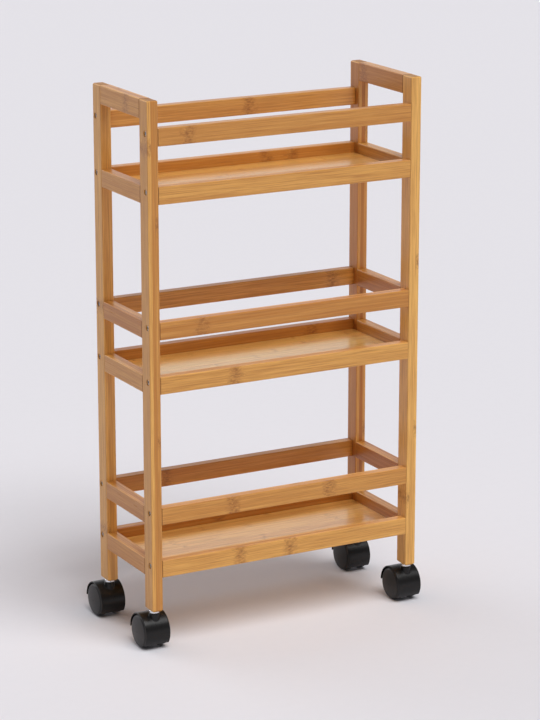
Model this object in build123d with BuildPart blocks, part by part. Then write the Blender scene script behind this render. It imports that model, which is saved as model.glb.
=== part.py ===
from build123d import *
from math import asin, degrees
import os

# Rolling utility cart: a tall, narrow bamboo cart with three trays between two end frames, on four
# twin-wheel swivel casters. Millimetres, +Z up, the floor at z = 0. The front faces -Y and "left" is
# -X. The origin is on the floor, at the middle of the box round the whole cart.

# ---------------------------------------------------------------- driving dimensions
# Frame
width = 450.0             # over the posts, along X
depth = 180.0             # over the posts, along Y
height = 820.0            # floor to the top of the posts
caster_height = 60.0      # floor to the foot of a post
stick_w = 26.0            # stock width: depth of a post, height of a rail
post_t = 17.0             # thickness of posts and rungs, along X
rail_t = 16.0             # thickness of the long rails, along Y
handle_h = 28.0           # height of the top rungs, which serve as handles
arris = 1.5               # rounding of every long edge
top_round = 2.5           # rounding of the post tops
foot_chamfer = 2.4
end_ease = 0.4            # bevel round the ends of rails and rungs, which shows as a fine line at a joint

# Tiers
tier_names = ("bottom", "middle", "top")
first_shelf_top = 138.0   # top edge of the lowest shelf rails
tier_pitch = 279.0
guard_rise = 81.0         # shelf rail top to guard rail top
top_guard_extra = 3.0     # the highest guard sits this much higher over its shelf
panel_drop = 16.0         # rail top down to the panel's face

# Panels, held by a tongue in a groove of the long shelf rails
panel_t = 6.0
tongue_t = 3.0
tongue_reach = 3.4
groove_h = 3.2
groove_depth = 4.0
panel_gap = 0.3           # between the panel's edge and the wood round it

# Rail screws, hex socket, driven through the posts into the rail ends
screw_below_top = 7.0     # screw axis under the rail's top edge
screw_head_r = 4.0
screw_head_h = 3.5
screw_head_edge = 0.4
screw_shank_r = 2.4
screw_length = 45.0       # under the head
screw_tip = 5.0
screw_tip_r = 0.5
screw_hole_r = 2.5
screw_hole_spare = 0.5
counterbore_r = 4.5
counterbore_depth = 5.0
socket_across = 4.0       # across flats
socket_depth = 2.2

# Dowels
dowel_r = 3.0
dowel_length = 25.0
dowel_chamfer = 0.8
dowel_fit = 0.02          # radial
dowel_hole_spare = 0.5    # depth left past each end of a dowel
rail_dowel_rise = 7.0     # dowel axis over the rail's bottom edge
rail_dowel_in_post = 10.0
rung_dowel_in_post = 12.0
rung_dowel_offset = 6.0   # each dowel of a pair from the middle of the rung

# Caster: wheels
trail = 14.0              # axle behind the stem
wheel_r = 25.0
wheel_inner_x = 7.2       # wheel's inner face from the middle of the caster
wheel_edge_x = 19.6       # where the domed outer face meets the tread
wheel_outer_x = 22.0      # crown of the dome
wheel_edge_round = 4.6
wheel_inner_round = 1.0
wheel_hub_r = 8.0
wheel_rim_r = 20.5        # inside of the rim
wheel_recess = 9.0
wheel_rib_t = 1.6
wheel_ribs = 6

# Caster: axle
axle_r = 3.0
axle_half = 18.6
axle_fit = 0.05           # radial, wheel on axle
axle_press = 0.01         # radial, axle in hood
axle_chamfer = 0.5
axle_end_gap = 0.5

# Caster: hood
hood_r = 28.0
hood_wall = 1.8
hood_half = 20.0          # half its width
hood_edge_round = 1.2
hood_lip_gap = 8.0        # floor to the front lip
web_half = 6.5            # half the web that carries the axle, between the wheels
boss_top_r = 8.0
boss_foot_r = 6.6
boss_foot_z = 38.0
boss_clear = 0.4          # top of the boss under the stem flange
boss_edge = 0.8
boss_fillet = 1.2         # where the boss grows out of the cover
lip_round = 0.4           # front and back edges of the cover

# Caster: stem, its retaining ring, and the threaded insert in the post
flange_r = 7.5
flange_h = 4.0
flange_edge = 0.6
stem_r = 4.0
stem_fit = 0.08           # radial, stem in hood
stem_thread = 16.0        # above the flange
stem_pin = 23.0           # below the flange
stem_chamfer = 1.0
stem_bore_spare = 1.5
ring_groove_r = 3.2
ring_groove_h = 1.4
ring_groove_mid = 37.7    # height of the groove over the floor
ring_inner_r = 3.3
ring_outer_r = 4.7
ring_h = 1.0
ring_gap = 2.0            # the split in the ring
ring_room_r = 5.1         # room for the ring in the hood
ring_room_h = 2.0
insert_r = 5.5
insert_length = 18.0
insert_fit = 0.02         # radial, insert in post
thread_fit = 0.05         # radial, stem in insert

# ---------------------------------------------------------------- worked-out places
sides = {"left": -1, "right": 1}
ends = {"front": -1, "back": 1}
corners = [(side, end) for end in ends for side in sides]
frame_y = -trail                            # centres the box round the cart, wheels included, on y = 0
inner_x = width / 2 - post_t                # inner faces of the posts and rungs
post_x = width / 2 - post_t / 2
post_y = depth / 2 - stick_w / 2            # this and the next three from frame_y
post_inner_y = depth / 2 - stick_w
rail_y = depth / 2 - rail_t / 2
rail_inner_y = depth / 2 - rail_t
rail_length = 2 * inner_x
rung_length = 2 * post_inner_y

shelf_tops = [first_shelf_top + i * tier_pitch for i in range(len(tier_names))]
guard_tops = [top + guard_rise for top in shelf_tops]
guard_tops[-1] += top_guard_extra
rail_tops = shelf_tops + guard_tops
rung_mids = [top - stick_w / 2 for top in shelf_tops + guard_tops[:-1]]
handle_mid = height - handle_h / 2          # the handle takes the place of the highest guard rung

flange_foot = caster_height - flange_h
hood_top = flange_foot - boss_clear
pin_foot = flange_foot - stem_pin
axle_yz = (trail, wheel_r)                  # from the stem axis, in the caster's own YZ plane

on_base = (Align.CENTER, Align.CENTER, Align.MIN)
from_top = (Align.CENTER, Align.CENTER, Align.MAX)


def stem_place(side, end):
    """The stem axis at one corner, where it meets the floor."""
    return (sides[side] * post_x, frame_y + ends[end] * post_y, 0)


def save(piece, name):
    """Label a finished piece and write its file."""
    piece.part.label = name
    export_step(piece.part, f"parts/{name}.step")


# ---------------------------------------------------------------- where the fasteners go
def screw_plane(side, end, top):
    """On a post's outer face, facing outwards, at the axis of the screw into the rail with this top."""
    s = sides[side]
    place = (s * width / 2, frame_y + ends[end] * rail_y, top - screw_below_top)
    return Plane(origin=place, x_dir=(0, 1, 0), z_dir=(s, 0, 0))


def rail_dowel_plane(side, end, top, out=1):
    """Where a long rail meets a post, at the axis of their dowel, facing out of the rail."""
    s = sides[side]
    place = (s * inner_x, frame_y + ends[end] * rail_y, top - stick_w + rail_dowel_rise)
    return Plane(origin=place, x_dir=(0, 1, 0), z_dir=(s * out, 0, 0))


def rung_dowel_planes(side, end, mid, out=1):
    """Where a rung meets a post, at the axes of their two dowels, facing out of the rung."""
    e = ends[end]
    x, y = sides[side] * post_x, frame_y + e * post_inner_y
    return [
        Plane(origin=(x, y, mid + rise), x_dir=(1, 0, 0), z_dir=(0, e * out, 0))
        for rise in (-rung_dowel_offset, rung_dowel_offset)
    ]


# ---------------------------------------------------------------- frame
def build_post(side, end):
    """A full-height stick, bored for six rail screws and dowels, the rung dowels and the insert."""
    x, y, _ = stem_place(side, end)
    with BuildPart() as post:
        with BuildSketch(Plane.XY.offset(caster_height)):
            with Locations((x, y)):
                Rectangle(post_t, stick_w)
        extrude(amount=height - caster_height)
        chamfer(post.faces().sort_by(Axis.Z)[0].edges(), foot_chamfer)
        fillet([e for e in post.edges() if abs((e @ 1 - e @ 0).Z) > foot_chamfer / 2], arris)
        fillet(post.faces().sort_by(Axis.Z)[-1].edges(), top_round)
        for top in rail_tops:
            with Locations(screw_plane(side, end, top)):
                CounterBoreHole(screw_hole_r, counterbore_r, counterbore_depth)
            with Locations(rail_dowel_plane(side, end, top, out=-1)):
                Hole(dowel_r + dowel_fit, rail_dowel_in_post + dowel_hole_spare)
        for mid in rung_mids + [handle_mid]:
            with Locations(*rung_dowel_planes(side, end, mid, out=-1)):
                Hole(dowel_r + dowel_fit, rung_dowel_in_post + dowel_hole_spare)
        with Locations(Plane(origin=(x, y, caster_height), x_dir=(1, 0, 0), z_dir=(0, 0, -1))):
            Hole(insert_r + insert_fit, insert_length)
    return post


def build_rung(side, mid, rung_h):
    """A cross stick between the two posts of an end frame, with two dowel holes in each end."""
    with BuildPart() as rung:
        with BuildSketch(Plane.XZ.offset(-frame_y - rung_length / 2)):
            with Locations((sides[side] * post_x, mid)):
                RectangleRounded(post_t, rung_h, arris)
        extrude(amount=rung_length)
        chamfer(rung.faces().filter_by(Axis.Y).edges(), end_ease)
        for end in ends:
            with Locations(*rung_dowel_planes(side, end, mid)):
                Hole(dowel_r + dowel_fit, dowel_length - rung_dowel_in_post + dowel_hole_spare)
    return rung


def build_rail(end, top, grooved):
    """A long rail between the end frames, grooved along its inner face if it carries a panel."""
    e = ends[end]
    with BuildPart() as rail:
        with BuildSketch(Plane.YZ.offset(-inner_x)):
            with Locations((frame_y + e * rail_y, top - stick_w / 2)):
                RectangleRounded(rail_t, stick_w, arris)
        extrude(amount=rail_length)
        chamfer(rail.faces().filter_by(Axis.X).edges(), end_ease)
        if grooved:
            groove_mid = top - panel_drop - panel_t + tongue_t / 2
            with BuildSketch(Plane.YZ.offset(-inner_x)):
                with Locations((frame_y + e * rail_inner_y, groove_mid)):
                    Rectangle(2 * groove_depth, groove_h)
            extrude(amount=rail_length, mode=Mode.SUBTRACT)
        for side in sides:
            with Locations(rail_dowel_plane(side, end, top)):
                Hole(dowel_r + dowel_fit, dowel_length - rail_dowel_in_post + dowel_hole_spare)
            with Locations(screw_plane(side, end, top)):
                Hole(screw_hole_r, counterbore_depth + screw_length + screw_hole_spare)
    return rail


def build_panel(top):
    """A bamboo board with a tongue along each long edge, which the rail grooves hold."""
    board_x = rail_length - 2 * panel_gap
    tongue_foot = top - panel_drop - panel_t
    with BuildPart() as panel:
        with BuildSketch(Plane.XY.offset(tongue_foot)):
            with Locations((0, frame_y)):
                Rectangle(board_x, 2 * (rail_inner_y + tongue_reach))
        extrude(amount=tongue_t)
        with BuildSketch(Plane.XY.offset(tongue_foot)):
            with Locations((0, frame_y)):
                Rectangle(board_x, 2 * (rail_inner_y - panel_gap))
        extrude(amount=panel_t)
    return panel


# ---------------------------------------------------------------- fasteners
def build_screws():
    """The rail screws: a round head with a hex socket, sunk in the post, and a pointed shank."""
    shank = screw_length - screw_tip
    with BuildPart() as screw:
        with Locations((0, 0, -counterbore_depth)):
            Cylinder(screw_head_r, screw_head_h, align=on_base)
        chamfer(screw.faces().sort_by(Axis.Z)[-1].edges(), screw_head_edge)
        with BuildSketch(Plane.XY.offset(screw_head_h - counterbore_depth)):
            RegularPolygon(socket_across / 2, 6, major_radius=False)
        extrude(amount=-socket_depth, mode=Mode.SUBTRACT)
        with Locations((0, 0, -counterbore_depth)):
            Cylinder(screw_shank_r, shank, align=from_top)
        with Locations((0, 0, -counterbore_depth - shank)):
            Cone(screw_tip_r, screw_shank_r, screw_tip, align=from_top)
    with BuildPart() as screws:
        with Locations(*[screw_plane(*corner, top) for corner in corners for top in rail_tops]):
            add(screw.part)
    return screws


def build_dowels(planes, in_post):
    """Beech dowels with chamfered ends, one on each plane, this far into the post."""
    with BuildPart() as dowels:
        with Locations(*[plane.offset(in_post) for plane in planes]):
            Cylinder(dowel_r, dowel_length, align=from_top)
        chamfer(dowels.edges().filter_by(GeomType.CIRCLE), dowel_chamfer)
    return dowels


def build_inserts():
    """The threaded sleeves in the feet of the posts, shown without their threads."""
    with BuildPart() as inserts:
        with Locations(*[stem_place(*corner) for corner in corners]):
            with Locations((0, 0, caster_height)):
                Cylinder(insert_r, insert_length, align=on_base)
                Cylinder(stem_r + thread_fit, insert_length, align=on_base, mode=Mode.SUBTRACT)
    return inserts


# ---------------------------------------------------------------- casters
def build_stem(side, end):
    """A steel pin: a thread up into the insert, a round flange, and the pivot that the hood turns on."""
    with BuildPart() as stem:
        with Locations(stem_place(side, end)):
            with Locations((0, 0, flange_foot)):
                Cylinder(flange_r, flange_h, align=on_base)
                chamfer(stem.edges().filter_by(GeomType.CIRCLE), flange_edge)
                Cylinder(stem_r, flange_h + stem_thread, align=on_base)
                Cylinder(stem_r, stem_pin, align=from_top)
            chamfer(stem.faces().sort_by(Axis.Z)[-1].edges(), stem_chamfer)
            chamfer(stem.faces().sort_by(Axis.Z)[0].edges(), stem_chamfer)
        with BuildSketch(Plane.XY.offset(ring_groove_mid - ring_groove_h / 2)):
            with Locations(stem_place(side, end)[:2]):
                Circle(flange_r)
                Circle(ring_groove_r, mode=Mode.SUBTRACT)
        extrude(amount=ring_groove_h, mode=Mode.SUBTRACT)
    return stem


def build_rings():
    """The split spring rings in the stem grooves, which keep the hoods from dropping off."""
    with BuildPart() as rings:
        with BuildSketch(Plane.XY.offset(ring_groove_mid - ring_h / 2)):
            with Locations(*[stem_place(*corner)[:2] for corner in corners]):
                Circle(ring_outer_r)
                Circle(ring_inner_r, mode=Mode.SUBTRACT)
                with Locations((0, ring_outer_r)):
                    Rectangle(ring_gap, 2 * ring_outer_r, mode=Mode.SUBTRACT)
        extrude(amount=ring_h)
    return rings


def boss_roots(form):
    """The edges where the stem boss meets the outside of the cover."""
    cone = form.faces().filter_by(GeomType.CONE).sort_by(SortBy.AREA)[-1]
    return [e for e in cone.edges() if e.geom_type not in (GeomType.CIRCLE, GeomType.LINE)]


def build_hood_form():
    """The moulded hood, with its stem axis at the origin: a curved cover, a web and a stem boss."""
    lip_angle = 180 + degrees(asin((wheel_r - hood_lip_gap) / hood_r))
    inner_r = hood_r - hood_wall
    with BuildPart() as form:
        with BuildSketch(Plane.YZ.offset(-hood_half)):
            with BuildLine():
                outside = CenterArc(axle_yz, hood_r, 0, lip_angle)
                inside = CenterArc(axle_yz, inner_r, 0, lip_angle)
                Line(outside @ 0, inside @ 0)
                Line(outside @ 1, inside @ 1)
            make_face()
        extrude(amount=2 * hood_half)
        rims = [e for e in form.edges().filter_by(GeomType.CIRCLE) if e.radius > inner_r + hood_wall / 2]
        fillet(rims, hood_edge_round)
        fillet(form.edges().filter_by(Axis.X), lip_round)
        with BuildSketch(Plane.YZ.offset(-web_half)):
            with BuildLine():
                under_cover = CenterArc(axle_yz, hood_r - hood_wall / 2, 0, lip_angle)
                Line(under_cover @ 1, under_cover @ 0)
            make_face()
        extrude(amount=2 * web_half)
        with Locations((0, 0, hood_top)):
            Cone(boss_foot_r, boss_top_r, hood_top - boss_foot_z, align=from_top)
        fillet(boss_roots(form), boss_fillet)
        chamfer(form.faces().sort_by(Axis.Z)[-1].edges(), boss_edge)
        for s in sides.values():
            with BuildSketch(Plane.YZ.offset(s * web_half)):
                with Locations(axle_yz):
                    Circle(inner_r)
            extrude(amount=s * boss_top_r, mode=Mode.SUBTRACT)
        with Locations((0, 0, hood_top)):
            Cylinder(
                stem_r + stem_fit, hood_top - pin_foot + stem_bore_spare, align=from_top, mode=Mode.SUBTRACT
            )
        with Locations((0, 0, ring_groove_mid)):
            Cylinder(ring_room_r, ring_room_h, mode=Mode.SUBTRACT)
        with BuildSketch(Plane.YZ.offset(-web_half)):
            with Locations(axle_yz):
                Circle(axle_r + axle_press)
        extrude(amount=2 * web_half, mode=Mode.SUBTRACT)
    return form


def build_wheel_form():
    """A moulded wheel with the middle of its caster's axle at the origin: domed outside, ribbed inside."""
    with BuildPart() as form:
        with BuildSketch() as section:
            with BuildLine():
                face = ThreePointArc(
                    (wheel_edge_x, wheel_r), (wheel_outer_x, 0), (wheel_edge_x, -wheel_r)
                )
                Polyline(face @ 0, (wheel_inner_x, wheel_r), (wheel_inner_x, -wheel_r), face @ 1)
            make_face()
            tread_corners = section.vertices().group_by(Axis.X)
            fillet(tread_corners[-1], wheel_edge_round)
            fillet(section.vertices().group_by(Axis.X)[0], wheel_inner_round)
            split(bisect_by=Plane.XZ, keep=Keep.BOTTOM)
        revolve(axis=Axis.X)
        with BuildSketch(Plane.YZ.offset(wheel_inner_x)):
            Circle(wheel_rim_r)
            Circle(wheel_hub_r, mode=Mode.SUBTRACT)
            with PolarLocations((wheel_hub_r + wheel_rim_r) / 2, wheel_ribs):
                Rectangle(wheel_rim_r, wheel_rib_t, mode=Mode.SUBTRACT)
        extrude(amount=wheel_recess, mode=Mode.SUBTRACT)
        with BuildSketch(Plane.YZ.offset(wheel_inner_x)):
            Circle(axle_r + axle_fit)
        extrude(amount=axle_half + axle_end_gap - wheel_inner_x, mode=Mode.SUBTRACT)
    return form


def build_axle(x, y):
    """The steel pin through the web, with a wheel on each end."""
    with BuildPart() as axle:
        with Locations((x, y, wheel_r)):
            Cylinder(axle_r, 2 * axle_half, rotation=(0, 90, 0))
        chamfer(axle.edges().filter_by(GeomType.CIRCLE), axle_chamfer)
    return axle


def placed(form, place, turn=0):
    """A copy of a finished form, turned about the vertical and set at its place."""
    with BuildPart() as copy:
        with Locations(Location(place, (0, 0, turn))):
            add(form.part)
    return copy


# ---------------------------------------------------------------- assembly
os.makedirs("parts", exist_ok=True)

for side, end in corners:
    save(build_post(side, end), f"post_{end}_{side}")

for side in sides:
    save(build_rung(side, handle_mid, handle_h), f"handle_{side}")
    for tier, mid in zip(tier_names, rung_mids):
        save(build_rung(side, mid, stick_w), f"shelf_rung_{tier}_{side}")
    for tier, mid in zip(tier_names, rung_mids[len(tier_names):]):
        save(build_rung(side, mid, stick_w), f"guard_rung_{tier}_{side}")

for tier, shelf_top, guard_top in zip(tier_names, shelf_tops, guard_tops):
    save(build_panel(shelf_top), f"shelf_panel_{tier}")
    for end in ends:
        save(build_rail(end, shelf_top, grooved=True), f"shelf_rail_{tier}_{end}")
        save(build_rail(end, guard_top, grooved=False), f"guard_rail_{tier}_{end}")

rail_dowels = [rail_dowel_plane(*corner, top) for corner in corners for top in rail_tops]
rung_dowels = [
    plane
    for corner in corners
    for mid in rung_mids + [handle_mid]
    for plane in rung_dowel_planes(*corner, mid)
]
save(build_screws(), "rail_screws")
save(build_dowels(rail_dowels, rail_dowel_in_post), "rail_dowels")
save(build_dowels(rung_dowels, rung_dowel_in_post), "rung_dowels")
save(build_inserts(), "caster_inserts")
save(build_rings(), "caster_retaining_rings")

hood_form = build_hood_form()
wheel_form = build_wheel_form()
for side, end in corners:
    x, y, _ = stem_place(side, end)
    axle_place = (x, y + trail, wheel_r)
    save(build_stem(side, end), f"caster_stem_{end}_{side}")
    save(placed(hood_form, (x, y, 0)), f"caster_hood_{end}_{side}")
    save(build_axle(x, y + trail), f"caster_axle_{end}_{side}")
    for wheel_side, turn in (("left", 180), ("right", 0)):
        save(placed(wheel_form, axle_place, turn), f"wheel_{end}_{side}_{wheel_side}")
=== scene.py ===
"""A rolling utility cart in laminated bamboo: three shelves, two end frames and four twin-wheel casters."""
import math

import bmesh
import bpy
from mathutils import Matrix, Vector


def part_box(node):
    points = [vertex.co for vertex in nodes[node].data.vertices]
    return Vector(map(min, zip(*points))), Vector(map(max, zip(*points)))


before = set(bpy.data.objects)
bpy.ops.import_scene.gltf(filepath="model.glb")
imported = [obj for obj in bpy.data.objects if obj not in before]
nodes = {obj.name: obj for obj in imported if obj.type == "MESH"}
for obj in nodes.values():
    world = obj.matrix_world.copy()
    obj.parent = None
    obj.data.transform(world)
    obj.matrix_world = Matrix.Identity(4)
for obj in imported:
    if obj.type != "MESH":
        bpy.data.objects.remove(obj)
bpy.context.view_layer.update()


# ------------------------------------------------------------------------------------------------------------
# Bamboo strips. The cane is split, steamed to a caramel brown, planed into strips about 5.5 mm thick and
# glued up, so a face shows long fibres, a tone of its own for each strip, a thin glue line between strips,
# and here and there the knuckle where the cane had a joint. A clear satin lacquer covers it.
strip_thickness = 0.0056
knuckle_reach = 0.016
glue_line = 0.00025       # a real one is 0.1 mm, drawn wider so that it shows
fibre_pitch = 0.0011      # real bundles are about 0.6 mm apart, drawn coarser so that they show
streak_pitch = 0.004
fibres_along = 16.0       # changes per metre along the grain, so a fibre runs for about 60 mm
streaks_along = 3.5
swirl_scale = (90.0, 120.0, 120.0)     # changes per metre, along the grain and in the two ways across it
spot_scale = (170.0, 420.0, 420.0)
knuckle_wander = 0.004    # how far a knuckle's edge strays, and its fibres with it
knuckle_strength = (0.16, 0.72)        # between its spots, and in them
strip_tone = 0.4          # how far a strip's tone may be from its stick's
streak_tone_reach = 0.22
fibre_strength = 0.65
glue_strength = 0.45
joint_shade_strength = 0.5
end_grain_strength = (0.95, 0.6)       # in a pore, and between pores
lacquer_roughness = (0.26, 0.4)        # over closed fibres, and over open ones
end_grain_roughness = 0.15             # how much duller the lacquer is there
lacquer_relief = 0.0001
coat_roughness = 0.2
joint_shade_line = 0.0008       # painted shade of the open line at a joint, about 0.3 mm, with its glue, drawn wider so that it shows
bamboo_light = "#ECB25E"
bamboo_dark = "#BF7A30"
fibre_brown = "#A9682C"
knuckle_brown = "#8A4F20"
glue_brown = "#8A5222"
end_grain_brown = "#96632F"
# the dark brown of the painted shade in the joints, with their glue
joint_shade_brown = "#4A2C14"


def linear(colour):
    """A hex sRGB colour as the linear RGBA that a shader socket takes."""
    levels = [int(colour[i : i + 2], 16) / 255 for i in (1, 3, 5)]
    return (*[v / 12.92 if v <= 0.04045 else ((v + 0.055) / 1.055) ** 2.4 for v in levels], 1.0)


def add_node(tree, kind, settings=None, inputs=None):
    """Adds a node, sets its properties, and fills each input, by name or number, with a value or a link."""
    node = tree.nodes.new(kind)
    for name, value in (settings or {}).items():
        setattr(node, name, value)
    for name, value in (inputs or {}).items():
        socket = [s for s in node.inputs if s.enabled and name in (s.name, s.identifier)]
        socket = socket or [node.inputs[name]]
        if isinstance(value, bpy.types.Node):
            value = next(s for s in value.outputs if s.enabled)
        if isinstance(value, bpy.types.NodeSocket):
            tree.links.new(value, socket[0])
        else:
            socket[0].default_value = value
    return node


def bamboo_strips():
    """The look of glued strips: Place runs along the grain, from strip to strip, and across each strip."""
    tree = bpy.data.node_groups.new("glued bamboo strips", "ShaderNodeTree")
    for name, kind in (
        ("Place", "NodeSocketVector"),
        ("Strip", "NodeSocketFloat"),
        ("Knuckle", "NodeSocketFloat"),
        ("Tone", "NodeSocketFloat"),
        ("Seed", "NodeSocketFloat"),
        ("End", "NodeSocketFloat"),
        ("Joint", "NodeSocketFloat"),
    ):
        tree.interface.new_socket(name, in_out="INPUT", socket_type=kind)
    for name, kind in (
        ("Colour", "NodeSocketColor"),
        ("Roughness", "NodeSocketFloat"),
        ("Relief", "NodeSocketFloat"),
    ):
        tree.interface.new_socket(name, in_out="OUTPUT", socket_type=kind)
    given = add_node(tree, "NodeGroupInput").outputs
    parts = add_node(tree, "ShaderNodeSeparateXYZ", {}, {0: given["Place"]})

    # which strip this is, and the numbers that make it differ from its neighbours
    across = add_node(
        tree, "ShaderNodeMath", {"operation": "DIVIDE"}, {0: parts.outputs[1], 1: given["Strip"]}
    )
    strip = add_node(tree, "ShaderNodeMath", {"operation": "ROUND"}, {0: across})
    name_tag = add_node(tree, "ShaderNodeCombineXYZ", {}, {0: strip, 1: given["Seed"]})
    lot = add_node(tree, "ShaderNodeTexWhiteNoise", {"noise_dimensions": "3D"}, {"Vector": name_tag})
    apart = add_node(
        tree, "ShaderNodeVectorMath", {"operation": "SCALE"}, {0: lot.outputs["Color"], "Scale": 40.0}
    )

    # the knuckle: fibres swirl round it, with dark spots in the middle
    swirl_place = add_node(
        tree,
        "ShaderNodeVectorMath",
        {"operation": "MULTIPLY_ADD"},
        {0: given["Place"], 1: swirl_scale, 2: apart},
    )
    swirl = add_node(tree, "ShaderNodeTexNoise", {}, {"Vector": swirl_place, "Scale": 1.0, "Detail": 2.0})
    wander = add_node(
        tree,
        "ShaderNodeMapRange",
        {},
        {
            "Value": swirl,
            "From Min": 0.3,
            "From Max": 0.7,
            "To Min": -knuckle_wander,
            "To Max": knuckle_wander,
        },
    )
    gap = add_node(tree, "ShaderNodeMath", {"operation": "ADD"}, {0: given["Knuckle"], 1: wander})
    knuckle = add_node(
        tree,
        "ShaderNodeMapRange",
        {"interpolation_type": "SMOOTHSTEP"},
        {"Value": gap, "From Min": knuckle_reach, "From Max": 0.0},
    )
    spot_place = add_node(
        tree,
        "ShaderNodeVectorMath",
        {"operation": "MULTIPLY_ADD"},
        {0: given["Place"], 1: spot_scale, 2: apart},
    )
    spots = add_node(tree, "ShaderNodeTexNoise", {}, {"Vector": spot_place, "Scale": 1.0, "Detail": 3.0})
    spotty = add_node(
        tree,
        "ShaderNodeMapRange",
        {},
        {
            "Value": spots,
            "From Min": 0.4,
            "From Max": 0.66,
            "To Min": knuckle_strength[0],
            "To Max": knuckle_strength[1],
        },
    )
    knuckle_mark = add_node(tree, "ShaderNodeMath", {"operation": "MULTIPLY"}, {0: knuckle, 1: spotty})

    # the fibres, which bend aside at a knuckle
    aside = add_node(tree, "ShaderNodeMath", {"operation": "MULTIPLY"}, {0: knuckle, 1: wander})
    bend = add_node(tree, "ShaderNodeCombineXYZ", {}, {1: aside, 2: aside})
    bent = add_node(tree, "ShaderNodeVectorMath", {"operation": "ADD"}, {0: given["Place"], 1: bend})
    fibre_place = add_node(
        tree,
        "ShaderNodeVectorMath",
        {"operation": "MULTIPLY_ADD"},
        {0: bent, 1: (fibres_along, 1 / fibre_pitch, 1 / fibre_pitch), 2: apart},
    )
    fibres = add_node(
        tree, "ShaderNodeTexNoise", {}, {"Vector": fibre_place, "Scale": 1.0, "Detail": 3.0, "Roughness": 0.6}
    )
    streak_place = add_node(
        tree,
        "ShaderNodeVectorMath",
        {"operation": "MULTIPLY_ADD"},
        {0: bent, 1: (streaks_along, 1 / streak_pitch, 1 / streak_pitch), 2: apart},
    )
    streaks = add_node(tree, "ShaderNodeTexNoise", {}, {"Vector": streak_place, "Scale": 1.0, "Detail": 2.0})

    # colour: the strip's own tone, then streaks, fibres, glue lines, knuckles, painted shade at the joints
    # and end grain over it
    lot_tone = add_node(
        tree,
        "ShaderNodeMapRange",
        {},
        {"Value": lot.outputs["Value"], "To Min": -strip_tone, "To Max": strip_tone},
    )
    streak_tone = add_node(
        tree,
        "ShaderNodeMapRange",
        {},
        {
            "Value": streaks,
            "From Min": 0.3,
            "From Max": 0.7,
            "To Min": -streak_tone_reach,
            "To Max": streak_tone_reach,
        },
    )
    tone = add_node(tree, "ShaderNodeMath", {"operation": "ADD"}, {0: given["Tone"], 1: lot_tone})
    tone = add_node(tree, "ShaderNodeMath", {"operation": "ADD"}, {0: tone, 1: streak_tone})
    colour = add_node(
        tree,
        "ShaderNodeMix",
        {"data_type": "RGBA", "clamp_factor": False, "clamp_result": True},
        {"Factor": tone, "A": linear(bamboo_light), "B": linear(bamboo_dark)},
    )
    fibre_mark = add_node(
        tree,
        "ShaderNodeMapRange",
        {},
        {"Value": fibres, "From Min": 0.42, "From Max": 0.68, "To Max": fibre_strength},
    )
    colour = add_node(
        tree,
        "ShaderNodeMix",
        {"data_type": "RGBA"},
        {"Factor": fibre_mark, "A": colour, "B": linear(fibre_brown)},
    )
    off_middle = add_node(tree, "ShaderNodeMath", {"operation": "SUBTRACT"}, {0: across, 1: strip})
    off_middle = add_node(tree, "ShaderNodeMath", {"operation": "ABSOLUTE"}, {0: off_middle})
    from_line = add_node(tree, "ShaderNodeMath", {"operation": "SUBTRACT"}, {0: 0.5, 1: off_middle})
    from_line = add_node(tree, "ShaderNodeMath", {"operation": "MULTIPLY"}, {0: from_line, 1: given["Strip"]})
    glue_mark = add_node(
        tree,
        "ShaderNodeMapRange",
        {},
        {"Value": from_line, "From Min": glue_line, "From Max": 0.0, "To Max": glue_strength},
    )
    colour = add_node(
        tree,
        "ShaderNodeMix",
        {"data_type": "RGBA"},
        {"Factor": glue_mark, "A": colour, "B": linear(glue_brown)},
    )
    colour = add_node(
        tree,
        "ShaderNodeMix",
        {"data_type": "RGBA"},
        {"Factor": knuckle_mark, "A": colour, "B": linear(knuckle_brown)},
    )
    # painted shade: near a joint the colour goes dark brown, standing in for the shade in the open gap as
    # well as its glue
    joint_shade_mark = add_node(
        tree,
        "ShaderNodeMapRange",
        {},
        {
            "Value": given["Joint"],
            "From Min": joint_shade_line,
            "From Max": joint_shade_line / 3,
            "To Max": joint_shade_strength,
        },
    )
    colour = add_node(
        tree,
        "ShaderNodeMix",
        {"data_type": "RGBA"},
        {"Factor": joint_shade_mark, "A": colour, "B": linear(joint_shade_brown)},
    )
    pores = add_node(
        tree, "ShaderNodeTexVoronoi", {}, {"Vector": given["Place"], "Scale": 1 / fibre_pitch}
    )
    pore_mark = add_node(
        tree,
        "ShaderNodeMapRange",
        {},
        {
            "Value": pores,
            "From Min": 0.2,
            "From Max": 0.6,
            "To Min": end_grain_strength[0],
            "To Max": end_grain_strength[1],
        },
    )
    end_mark = add_node(tree, "ShaderNodeMath", {"operation": "MULTIPLY"}, {0: given["End"], 1: pore_mark})
    colour = add_node(
        tree,
        "ShaderNodeMix",
        {"data_type": "RGBA"},
        {"Factor": end_mark, "A": colour, "B": linear(end_grain_brown)},
    )

    # the lacquer is a little duller over open fibres, and dullest on end grain
    dull = add_node(
        tree,
        "ShaderNodeMapRange",
        {},
        {
            "Value": fibres,
            "From Min": 0.3,
            "From Max": 0.7,
            "To Min": lacquer_roughness[0],
            "To Max": lacquer_roughness[1],
        },
    )
    rough_end = add_node(
        tree, "ShaderNodeMath", {"operation": "MULTIPLY"}, {0: given["End"], 1: end_grain_roughness}
    )
    rough = add_node(tree, "ShaderNodeMath", {"operation": "ADD"}, {0: dull, 1: rough_end})
    relief = add_node(tree, "ShaderNodeMath", {"operation": "SUBTRACT"}, {0: fibres, 1: glue_mark})
    add_node(tree, "NodeGroupOutput", {}, {"Colour": colour, "Roughness": rough, "Relief": relief})
    return tree


strips = bamboo_strips()


def dress(node, material):
    """Gives a node of the frame its one material."""
    nodes[node].data.materials.clear()
    nodes[node].data.materials.append(material)


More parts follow.
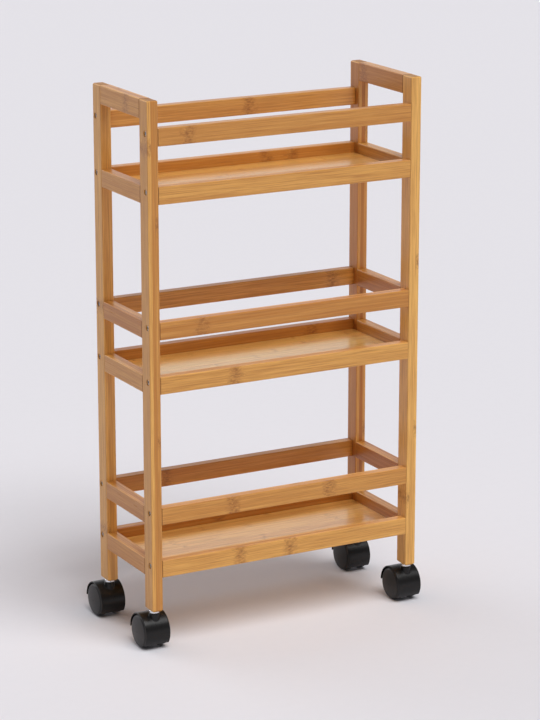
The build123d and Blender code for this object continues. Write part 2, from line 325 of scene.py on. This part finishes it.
def finish_bamboo(tree, place, strip, knuckle, tone, seed, end, joint, coat):
    """Lacquered bamboo: fibres and tones from the strips, satin gloss from the lacquer."""
    look = add_node(
        tree,
        "ShaderNodeGroup",
        {"node_tree": strips},
        {
            "Place": place,
            "Strip": strip,
            "Knuckle": knuckle,
            "Tone": tone,
            "Seed": seed,
            "End": end,
            "Joint": joint,
        },
    )
    relief = add_node(
        tree,
        "ShaderNodeBump",
        {},
        {"Height": look.outputs["Relief"], "Strength": 0.5, "Distance": lacquer_relief},
    )
    lacquer = add_node(
        tree,
        "ShaderNodeBsdfPrincipled",
        {},
        {
            "Base Color": look.outputs["Colour"],
            "Roughness": look.outputs["Roughness"],
            "IOR": 1.5,
            "Coat Weight": coat,
            "Coat Roughness": coat_roughness,
            "Normal": relief,
        },
    )
    add_node(tree, "ShaderNodeOutputMaterial", {}, {"Surface": lacquer})


def bamboo_stick(node, axes, tone, knuckles):
    """Lacquered bamboo on one stick. Axes are its grain, its layers and its width, in that order.

    A knuckle is its place along the grain from the middle, in metres, and -1 or 1 for its outer layer.
    """
    seed = sorted(nodes).index(node)
    material = bpy.data.materials.new("lacquered laminated bamboo " + node.replace("_", " "))
    material.use_nodes = True
    tree = material.node_tree
    tree.nodes.clear()
    low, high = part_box(node)
    where = add_node(tree, "ShaderNodeTexCoord")
    middle = add_node(
        tree,
        "ShaderNodeVectorMath",
        {"operation": "SUBTRACT"},
        {0: where.outputs["Object"], 1: (low + high) / 2},
    )
    from_middle = add_node(tree, "ShaderNodeSeparateXYZ", {}, {0: middle})
    place = add_node(
        tree, "ShaderNodeCombineXYZ", {}, {i: from_middle.outputs[axis] for i, axis in enumerate(axes)}
    )
    facing = add_node(tree, "ShaderNodeSeparateXYZ", {}, {0: where.outputs["Normal"]})
    along_grain = add_node(tree, "ShaderNodeMath", {"operation": "ABSOLUTE"}, {0: facing.outputs[axes[0]]})
    end = add_node(tree, "ShaderNodeMapRange", {}, {"Value": along_grain, "From Min": 0.75, "From Max": 0.95})
    along, layer = (from_middle.outputs[axis] for axis in axes[:2])
    nearest = 1.0
    for spot, side in knuckles:
        off = add_node(tree, "ShaderNodeMath", {"operation": "SUBTRACT"}, {0: along, 1: spot})
        off = add_node(tree, "ShaderNodeMath", {"operation": "ABSOLUTE"}, {0: off})
        other_layer = add_node(
            tree,
            "ShaderNodeMath",
            {"operation": "LESS_THAN" if side > 0 else "GREATER_THAN"},
            {0: layer, 1: side * strip_thickness / 2},
        )
        off = add_node(tree, "ShaderNodeMath", {"operation": "ADD"}, {0: off, 1: other_layer})
        nearest = add_node(tree, "ShaderNodeMath", {"operation": "MINIMUM"}, {0: nearest, 1: off})
    joint = 1.0                # a post has no joint at its ends, so it is far from one everywhere
    # how far from the ends of a rail or rung, where the painted shade of its joint darkens it
    if axes[0] != "Z":
        half_length = (high - low)["XYZ".index(axes[0])] / 2
        away = add_node(tree, "ShaderNodeMath", {"operation": "ABSOLUTE"}, {0: along})
        joint = add_node(tree, "ShaderNodeMath", {"operation": "SUBTRACT"}, {0: half_length, 1: away})
    finish_bamboo(tree, place, strip_thickness, nearest, tone, seed, end, joint, 0.0)
    dress(node, material)


# ------------------------------------------------------------------------------------------------------------
# Corner posts. Four upright sticks of three layers, one outer layer facing each end of the cart, so the
# narrow front and back faces show the three layers as stripes, and the sawn tops show end grain.
bamboo_stick("post_front_left", "ZXY", 0.4, [(0.31, -1), (-0.12, 1), (0.2, 1)])
bamboo_stick("post_front_right", "ZXY", -0.05, [(-0.27, -1), (0.1, 1), (-0.16, 1)])
bamboo_stick("post_back_left", "ZXY", 0.3, [(0.05, -1), (-0.3, -1), (0.24, 1)])
bamboo_stick("post_back_right", "ZXY", 0.65, [(-0.04, -1), (0.28, 1), (-0.2, 1)])


# ------------------------------------------------------------------------------------------------------------
# Rungs of the two end frames. Each end has a handle on top and two rungs a tier below it, dowelled between
# the posts and layered the same way, so the wide faces show one plain layer.
bamboo_stick("handle_left", "YXZ", 0.8, [(-0.02, -1), (0.03, 1)])
bamboo_stick("handle_right", "YXZ", 0.6, [(0.05, -1), (-0.01, 1)])
for tier, tone in (("bottom", 0.6), ("middle", 0.5), ("top", 0.55)):
    for side in ("left", "right"):
        bamboo_stick(f"shelf_rung_{tier}_{side}", "YXZ", tone, [])
        if tier != "top":
            bamboo_stick(f"guard_rung_{tier}_{side}", "YXZ", tone + 0.05, [])


# ------------------------------------------------------------------------------------------------------------
# Long rails. A shelf rail under a guard rail on each long side of a tier, screwed through the posts, with
# the layers facing front and back.
bamboo_stick("guard_rail_top_front", "XYZ", 0.95, [(-0.16, -1), (0.06, 1)])
bamboo_stick("guard_rail_top_back", "XYZ", 0.75, [(0.025, -1), (-0.13, 1)])
bamboo_stick("shelf_rail_top_front", "XYZ", 0.5, [(0.15, 1)])
bamboo_stick("shelf_rail_top_back", "XYZ", 0.75, [(0.053, -1), (0.098, -1), (-0.1, 1)])
bamboo_stick("guard_rail_middle_front", "XYZ", 0.6, [(-0.14, -1), (0.09, 1)])
bamboo_stick("guard_rail_middle_back", "XYZ", 0.7, [(0.17, -1), (0.15, 1)])
bamboo_stick("shelf_rail_middle_front", "XYZ", 0.3, [(-0.086, -1), (0.11, 1)])
bamboo_stick("shelf_rail_middle_back", "XYZ", 0.7, [(0.133, -1), (-0.06, 1)])
bamboo_stick("guard_rail_bottom_front", "XYZ", 0.6, [(-0.091, -1), (0.073, -1), (0.02, 1)])
bamboo_stick("guard_rail_bottom_back", "XYZ", 0.6, [(-0.12, -1), (0.17, 1)])
bamboo_stick("shelf_rail_bottom_front", "XYZ", 0.35, [(0.005, -1), (-0.079, -1), (0.16, 1)])
bamboo_stick("shelf_rail_bottom_back", "XYZ", 0.7, [(-0.03, -1), (0.1, 1)])


# ------------------------------------------------------------------------------------------------------------
# Shelf panels. Thin boards with their strips laid flat, side by side along the cart, tongued into the rails.
# Each strip has knuckles of its own, so they lie scattered over the board.
board_strip = 0.0185
knuckle_spacing = 0.27
board_knuckle_fade = 0.007    # keeps the knuckles of the boards smaller and fainter than the sticks'
board_coat = 0.9


def bamboo_board(node, tone):
    """Lacquered bamboo on a panel, whose strips lie side by side with their knuckles at different places."""
    seed = sorted(nodes).index(node)
    material = bpy.data.materials.new("lacquered bamboo board " + node.replace("_", " "))
    material.use_nodes = True
    tree = material.node_tree
    tree.nodes.clear()
    low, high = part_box(node)
    where = add_node(tree, "ShaderNodeTexCoord")
    place = add_node(
        tree,
        "ShaderNodeVectorMath",
        {"operation": "SUBTRACT"},
        {0: where.outputs["Object"], 1: (low + high) / 2},
    )
    parts = add_node(tree, "ShaderNodeSeparateXYZ", {}, {0: place})
    across = add_node(
        tree, "ShaderNodeMath", {"operation": "DIVIDE"}, {0: parts.outputs["Y"], 1: board_strip}
    )
    strip = add_node(tree, "ShaderNodeMath", {"operation": "ROUND"}, {0: across})
    name_tag = add_node(tree, "ShaderNodeCombineXYZ", {}, {0: strip, 1: seed + 0.5})
    lot = add_node(tree, "ShaderNodeTexWhiteNoise", {"noise_dimensions": "3D"}, {"Vector": name_tag})
    start = add_node(
        tree, "ShaderNodeMath", {"operation": "MULTIPLY"}, {0: lot.outputs["Value"], 1: knuckle_spacing}
    )
    along = add_node(tree, "ShaderNodeMath", {"operation": "ADD"}, {0: parts.outputs["X"], 1: start})
    off = add_node(tree, "ShaderNodeMath", {"operation": "PINGPONG"}, {0: along, 1: knuckle_spacing / 2})
    off = add_node(tree, "ShaderNodeMath", {"operation": "ADD"}, {0: off, 1: board_knuckle_fade})
    # how far from where the board meets the rungs and rails, where the painted shade of that joint darkens it
    to_edges = []
    for number, axis, edge_stick in ((0, "X", "shelf_rung_top_right"), (1, "Y", "shelf_rail_top_back")):
        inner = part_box(edge_stick)[0][number] - ((low + high) / 2)[number]
        away = add_node(tree, "ShaderNodeMath", {"operation": "ABSOLUTE"}, {0: parts.outputs[axis]})
        to_edges.append(add_node(tree, "ShaderNodeMath", {"operation": "SUBTRACT"}, {0: inner, 1: away}))
    joint = add_node(tree, "ShaderNodeMath", {"operation": "MINIMUM"}, {0: to_edges[0], 1: to_edges[1]})
    finish_bamboo(tree, place, board_strip, off, tone, seed, 0.0, joint, board_coat)
    dress(node, material)


# The boards are paler than the sticks, and the middle one palest: partly their own paler bamboo, partly
# painted light, standing in for the boards' pale sheen and lifting the middle board out of the top shelf's
# shade.
bamboo_board("shelf_panel_bottom", -0.25)
bamboo_board("shelf_panel_middle", -0.5)
bamboo_board("shelf_panel_top", -0.15)


# ------------------------------------------------------------------------------------------------------------
# Dowels. Fluted beech pins, glued into the rungs and rails, all of them inside the joints.
beech_light = "#DDBB8E"
beech_dark = "#C69C6A"


def plain_material(name, shader, colours, grit_size, roughness, relief_height):
    """A material whose colour, roughness and relief vary with one fine grain, given as noise."""
    material = bpy.data.materials.new(name)
    material.use_nodes = True
    tree = material.node_tree
    tree.nodes.clear()
    where = add_node(tree, "ShaderNodeTexCoord")
    grit = add_node(
        tree,
        "ShaderNodeTexNoise",
        {},
        {"Vector": where.outputs["Object"], "Scale": 1 / grit_size, "Detail": 3.0},
    )
    colour = add_node(
        tree,
        "ShaderNodeMix",
        {"data_type": "RGBA"},
        {"Factor": grit, "A": linear(colours[0]), "B": linear(colours[1])},
    )
    rough = add_node(
        tree,
        "ShaderNodeMapRange",
        {},
        {"Value": grit, "From Min": 0.3, "From Max": 0.7, "To Min": roughness[0], "To Max": roughness[1]},
    )
    bump = add_node(tree, "ShaderNodeBump", {}, {"Height": grit, "Strength": 0.3, "Distance": relief_height})
    surface = add_node(
        tree,
        "ShaderNodeBsdfPrincipled",
        {},
        {"Base Color": colour, "Roughness": rough, "Normal": bump, **shader},
    )
    add_node(tree, "ShaderNodeOutputMaterial", {}, {"Surface": surface})
    return material


beech = plain_material("turned beech", {"IOR": 1.5}, (beech_light, beech_dark), 0.0015, (0.5, 0.65), 0.0001)
for node in ("rail_dowels", "rung_dowels"):
    dress(node, beech)


# ------------------------------------------------------------------------------------------------------------
# Screws, inserts, caster stems and axles. Steel with a bright zinc plating, which has a soft, slightly blue
# shine.
zinc = plain_material(
    "bright zinc plated steel", {"Metallic": 1.0}, ("#E8EAEC", "#D8DBDE"), 0.0008, (0.2, 0.32), 0.00002
)
spring = plain_material(
    "blackened spring steel", {"Metallic": 1.0}, ("#5A5856", "#46443F"), 0.0008, (0.35, 0.45), 0.00002
)
corners = [(end, side) for end in ("front", "back") for side in ("left", "right")]
steel_nodes = ["rail_screws", "caster_inserts"]
steel_nodes += [f"{piece}_{end}_{side}" for piece in ("caster_stem", "caster_axle") for end, side in corners]
for node in steel_nodes:
    dress(node, zinc)
dress("caster_retaining_rings", spring)


# ------------------------------------------------------------------------------------------------------------
# Casters. Hood and wheels are moulded nylon: the hood glossy from a polished mould, the wheels a softer
# black. A fine grain in both takes away part of their shine.
nylon = {"IOR": 1.53, "Specular IOR Level": 0.3}
hood_nylon = plain_material(
    "moulded black nylon", nylon, ("#0F0E0E", "#171515"), 0.0012, (0.26, 0.38), 0.00004
)
wheel_nylon = plain_material(
    "moulded dark grey nylon", nylon, ("#171514", "#1F1C1B"), 0.0012, (0.28, 0.4), 0.00005
)
for end, side in corners:
    dress(f"caster_hood_{end}_{side}", hood_nylon)
    for hand in ("left", "right"):
        dress(f"wheel_{end}_{side}_{hand}", wheel_nylon)


# ------------------------------------------------------------------------------------------------------------
# Floor. A wide sheet of matt pale paper, larger than any view of the cart.
floor_reach = 40.0
floor_mesh = bpy.data.meshes.new("floor")
shape = bmesh.new()
bmesh.ops.create_grid(shape, x_segments=1, y_segments=1, size=floor_reach)
shape.to_mesh(floor_mesh)
shape.free()
floor = bpy.data.objects.new("floor", floor_mesh)
bpy.context.scene.collection.objects.link(floor)
paper = bpy.data.materials.new("matt paper")
paper.use_nodes = True
paper.node_tree.nodes.clear()
fibrous = add_node(
    paper.node_tree,
    "ShaderNodeTexNoise",
    {},
    {"Vector": add_node(paper.node_tree, "ShaderNodeTexCoord").outputs["Object"], "Scale": 60.0},
)
pale = add_node(
    paper.node_tree,
    "ShaderNodeMix",
    {"data_type": "RGBA"},
    {"Factor": fibrous, "A": linear("#E3E1E6"), "B": linear("#E5E3E8")},
)
matt = add_node(
    paper.node_tree,
    "ShaderNodeBsdfPrincipled",
    {},
    {"Base Color": pale, "Roughness": 0.9, "Specular IOR Level": 0.0},
)
add_node(paper.node_tree, "ShaderNodeOutputMaterial", {}, {"Surface": matt})
floor_mesh.materials.append(paper)


# ------------------------------------------------------------------------------------------------------------
# Light. A large softbox high in front of the cart, which reaches the tops of the rails under the shelves,
# and weaker ones over it and behind it. The surround is a pale backdrop behind the cart, a dimmer room in
# front of it, and the same pale grey all round near the floor.
def softbox(name, toward, strength, width):
    """A far, even light of that width in degrees, from the direction that toward points to."""
    lamp = bpy.data.lights.new(name, "SUN")
    lamp.energy = strength
    lamp.angle = math.radians(width)
    holder = bpy.data.objects.new(name, lamp)
    holder.rotation_euler = Vector(toward).to_track_quat("Z", "Y").to_euler()
    bpy.context.scene.collection.objects.link(holder)


softbox("front softbox", (0.1, -0.5, 0.9), 2.32, 40)
softbox("overhead softbox", (-0.2, 0.0, 1.0), 0.3, 40)
softbox("back softbox", (-0.5, 1.0, 0.6), 0.55, 40)
skirting_height = (0.06, 0.12)     # the sine of the height over the horizon where the even grey gives way
skirting_share = 0.96              # matches the floor, so that no horizon shows in a low view
surround = bpy.data.worlds.new("pale surround")
surround.use_nodes = True
surround.node_tree.nodes.clear()
toward = add_node(surround.node_tree, "ShaderNodeTexCoord")
heading = add_node(surround.node_tree, "ShaderNodeSeparateXYZ", {}, {0: toward.outputs["Generated"]})
bright = add_node(
    surround.node_tree,
    "ShaderNodeMapRange",
    {"interpolation_type": "SMOOTHSTEP"},
    {"Value": heading.outputs["Z"], "From Min": 0.1, "From Max": 0.7, "To Min": 0.85, "To Max": 0.2},
)
backdrop = add_node(
    surround.node_tree,
    "ShaderNodeMapRange",
    {"interpolation_type": "SMOOTHSTEP"},
    {"Value": heading.outputs["Y"], "From Min": -0.1, "From Max": 0.6, "To Min": 0.25, "To Max": 1.25},
)
skirting = add_node(
    surround.node_tree,
    "ShaderNodeMapRange",
    {},
    {
        "Value": heading.outputs["Z"],
        "From Min": skirting_height[0],
        "From Max": skirting_height[1],
        "To Min": 1.0,
        "To Max": 0.0,
    },
)
share = add_node(
    surround.node_tree, "ShaderNodeMix", {}, {"Factor": skirting, "A": backdrop, "B": skirting_share}
)
bright = add_node(surround.node_tree, "ShaderNodeMath", {"operation": "MULTIPLY"}, {0: bright, 1: share})
glow = add_node(
    surround.node_tree, "ShaderNodeBackground", {}, {"Color": linear("#F9F8FB"), "Strength": bright}
)
add_node(surround.node_tree, "ShaderNodeOutputWorld", {}, {"Surface": glow})
bpy.context.scene.world = surround
bpy.context.scene.view_settings.view_transform = "Standard"


# ------------------------------------------------------------------------------------------------------------
# Camera. A long lens, in front of the cart's left end and above its top, looking a little down at its
# middle.
camera_lens = 137.8
camera_turn = 28.5
camera_tilt = 15.25
camera_place = (-1.891, -3.533, 1.484)
camera_data = bpy.data.cameras.new("camera")
camera_data.lens = camera_lens
camera_data.clip_end = 200.0
camera = bpy.data.objects.new("camera", camera_data)
camera.location = camera_place
camera.rotation_euler = (math.radians(90 - camera_tilt), 0.0, math.radians(-camera_turn))
bpy.context.scene.collection.objects.link(camera)
bpy.context.scene.camera = camera
